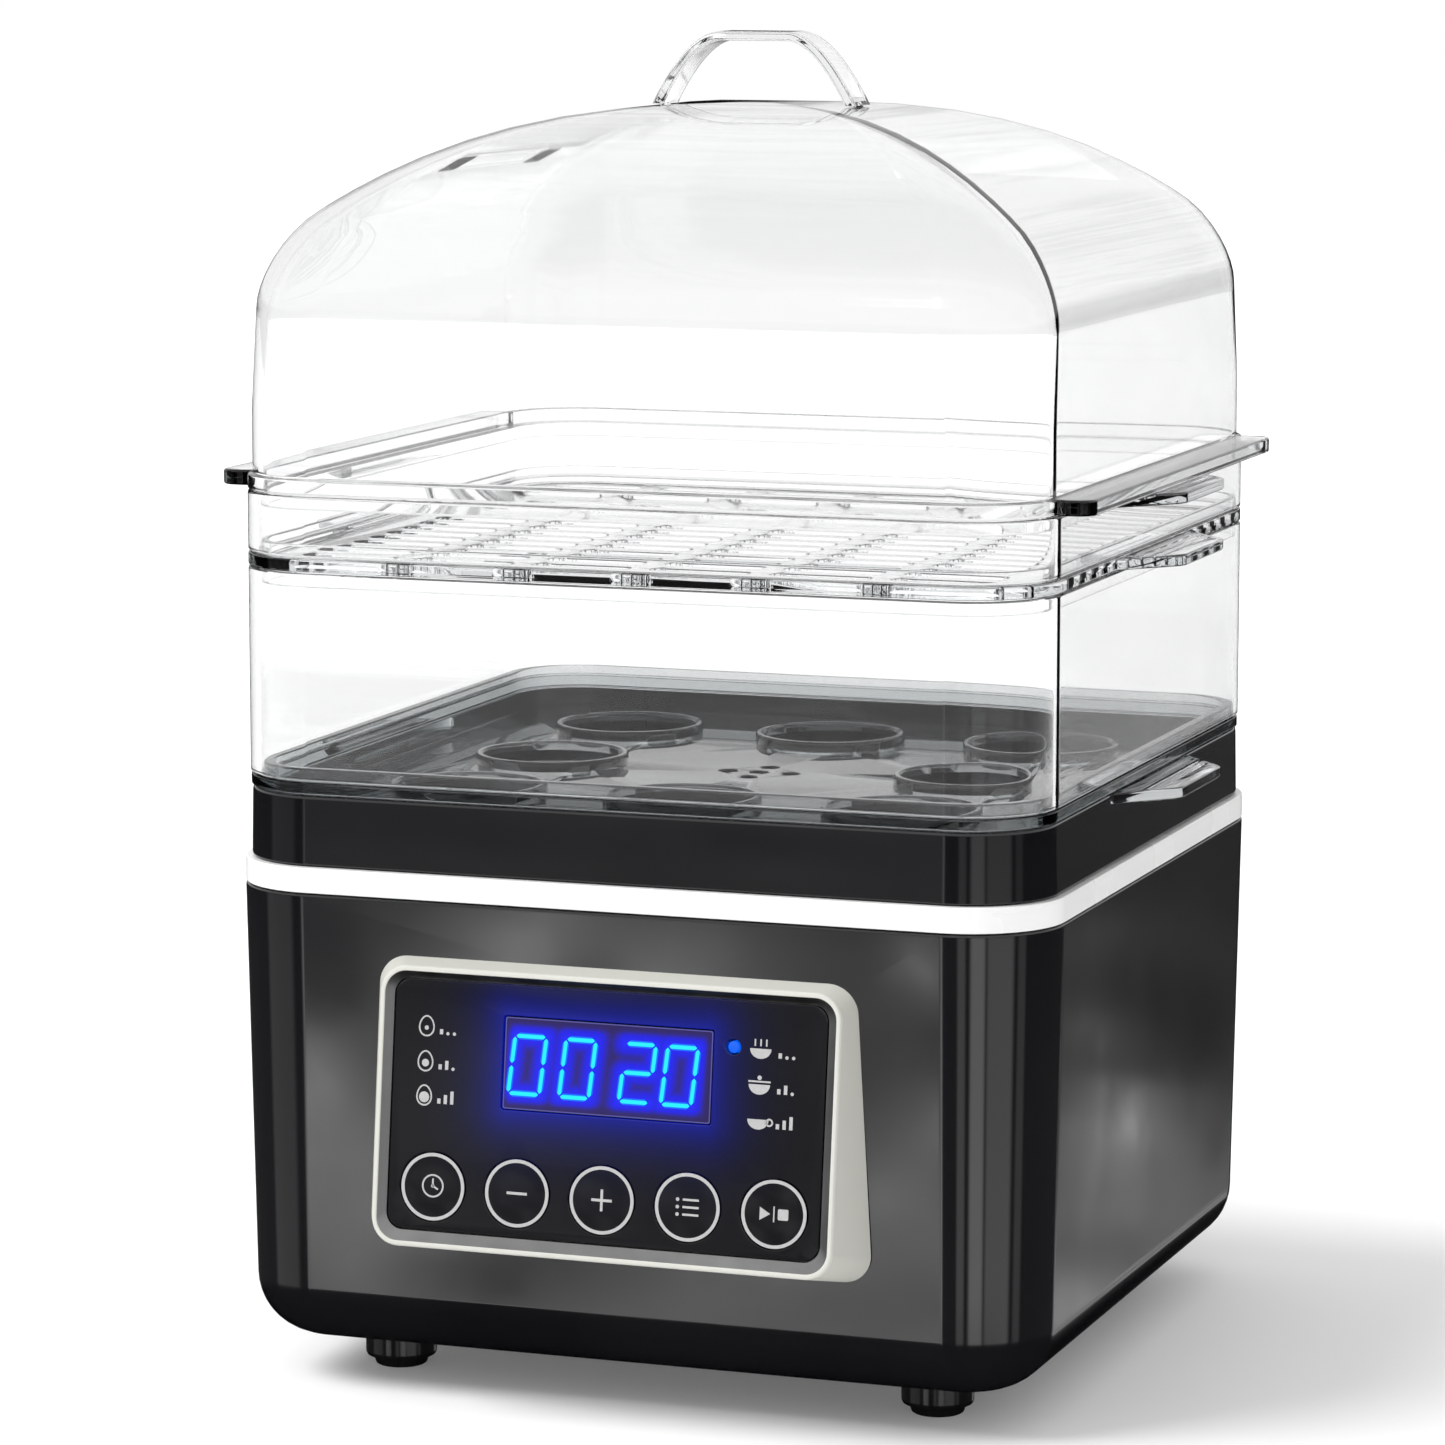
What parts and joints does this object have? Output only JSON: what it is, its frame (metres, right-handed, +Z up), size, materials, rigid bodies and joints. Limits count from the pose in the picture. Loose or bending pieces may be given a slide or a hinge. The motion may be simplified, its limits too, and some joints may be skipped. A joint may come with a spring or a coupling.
{
  "type": "egg cooker",
  "caption": "Square countertop egg cooker and steamer: black base with front keypad, clear egg tier, slotted steam tray, ring and domed lid that lift off.",
  "frame": {"origin": "centre of the whole outline's box, on the surface that the feet stand on", "axes": "+X to the right seen from the front, +Y to the rear, +Z up; the control panel faces -Y"},
  "size_m": [0.222, 0.2142, 0.316],
  "materials": {
    "black_gloss": "high gloss black",
    "dark_plastic": "fine texture",
    "white_plastic": "gloss",
    "bezel_grey": "satin light grey",
    "clear_plastic": "clear moulded",
    "tinted_window": "tinted clear",
    "steel": "satin",
    "aluminium": "satin",
    "rubber": "satin",
    "silicone": "matte",
    "board_green": "solder mask",
    "blue_plastic": "moulded",
    "display_blue": "lit blue",
    "copper": "plated"
  },
  "bodies": {
    "base": {"base_housing": "black_gloss", "bottom_cover": "dark_plastic", "trim_band": "white_plastic", "collar_ring": "black_gloss", "plate_seal": "silicone", "heating_plate": "steel", "heater_spreader": "aluminium", "heating_element": "steel", "heater_terminal_left": "copper", "heater_terminal_right": "copper", "heat_shield": "aluminium", "thermostat": "dark_plastic", "thermal_fuse": "silicone", "panel_bezel": "bezel_grey", "panel_overlay": "black_gloss", "display_window": "tinted_window", "display_module": "display_blue", "indicator_led": "display_blue", "control_board": "board_green", "board_bracket": "dark_plastic", "power_board": "board_green", "relay": "blue_plastic", "transformer": "dark_plastic", "capacitor": "dark_plastic", "buzzer": "dark_plastic", "terminal_block": "blue_plastic", "cord_gland": "rubber", "foot_front_left": "rubber", "foot_front_right": "rubber", "foot_rear_left": "rubber", "foot_rear_right": "rubber", "cover_screw_right": "steel", "cover_screw_rear": "steel", "cover_screw_left": "steel", "cover_screw_front": "steel", "shield_post_1": "steel", "shield_post_2": "steel", "shield_post_3": "steel", "tact_switch_1": "dark_plastic", "tact_switch_2": "dark_plastic", "tact_switch_3": "dark_plastic", "tact_switch_4": "dark_plastic", "tact_switch_5": "dark_plastic"},
    "key_1_body": {"key_1": "black_gloss"},
    "key_2_body": {"key_2": "black_gloss"},
    "key_3_body": {"key_3": "black_gloss"},
    "key_4_body": {"key_4": "black_gloss"},
    "key_5_body": {"key_5": "black_gloss"},
    "egg_tray_body": {"egg_tray": "clear_plastic"},
    "lower_tier_body": {"lower_tier": "clear_plastic"},
    "steam_tray_body": {"steam_tray": "clear_plastic"},
    "upper_ring_body": {"upper_ring": "clear_plastic"},
    "lid_body": {"lid": "clear_plastic", "lid_handle": "clear_plastic"}
  },
  "joints": [
    {"name": "key_1_press", "type": "slide", "parent": "base", "child": "key_1_body", "axis": [0, 0.9925, -0.1219], "range_m": [0, 0.0005], "stiffness_N_per_m": 600},
    {"name": "key_2_press", "type": "slide", "parent": "base", "child": "key_2_body", "axis": [0, 0.9925, -0.1219], "range_m": [0, 0.0005], "stiffness_N_per_m": 600},
    {"name": "key_3_press", "type": "slide", "parent": "base", "child": "key_3_body", "axis": [0, 0.9925, -0.1219], "range_m": [0, 0.0005], "stiffness_N_per_m": 600},
    {"name": "key_4_press", "type": "slide", "parent": "base", "child": "key_4_body", "axis": [0, 0.9925, -0.1219], "range_m": [0, 0.0005], "stiffness_N_per_m": 600},
    {"name": "key_5_press", "type": "slide", "parent": "base", "child": "key_5_body", "axis": [0, 0.9925, -0.1219], "range_m": [0, 0.0005], "stiffness_N_per_m": 600},
    {"name": "egg_tray_lift", "type": "slide", "parent": "base", "child": "egg_tray_body", "axis": [0, 0, 1], "range_m": [0, 0.06]},
    {"name": "lower_tier_lift", "type": "slide", "parent": "egg_tray_body", "child": "lower_tier_body", "axis": [0, 0, 1], "range_m": [0, 0.06]},
    {"name": "steam_tray_lift", "type": "slide", "parent": "lower_tier_body", "child": "steam_tray_body", "axis": [0, 0, 1], "range_m": [0, 0.05]},
    {"name": "upper_ring_lift", "type": "slide", "parent": "steam_tray_body", "child": "upper_ring_body", "axis": [0, 0, 1], "range_m": [0, 0.05]},
    {"name": "lid_lift", "type": "slide", "parent": "upper_ring_body", "child": "lid_body", "axis": [0, 0, 1], "range_m": [0, 0.11]}
  ]
}
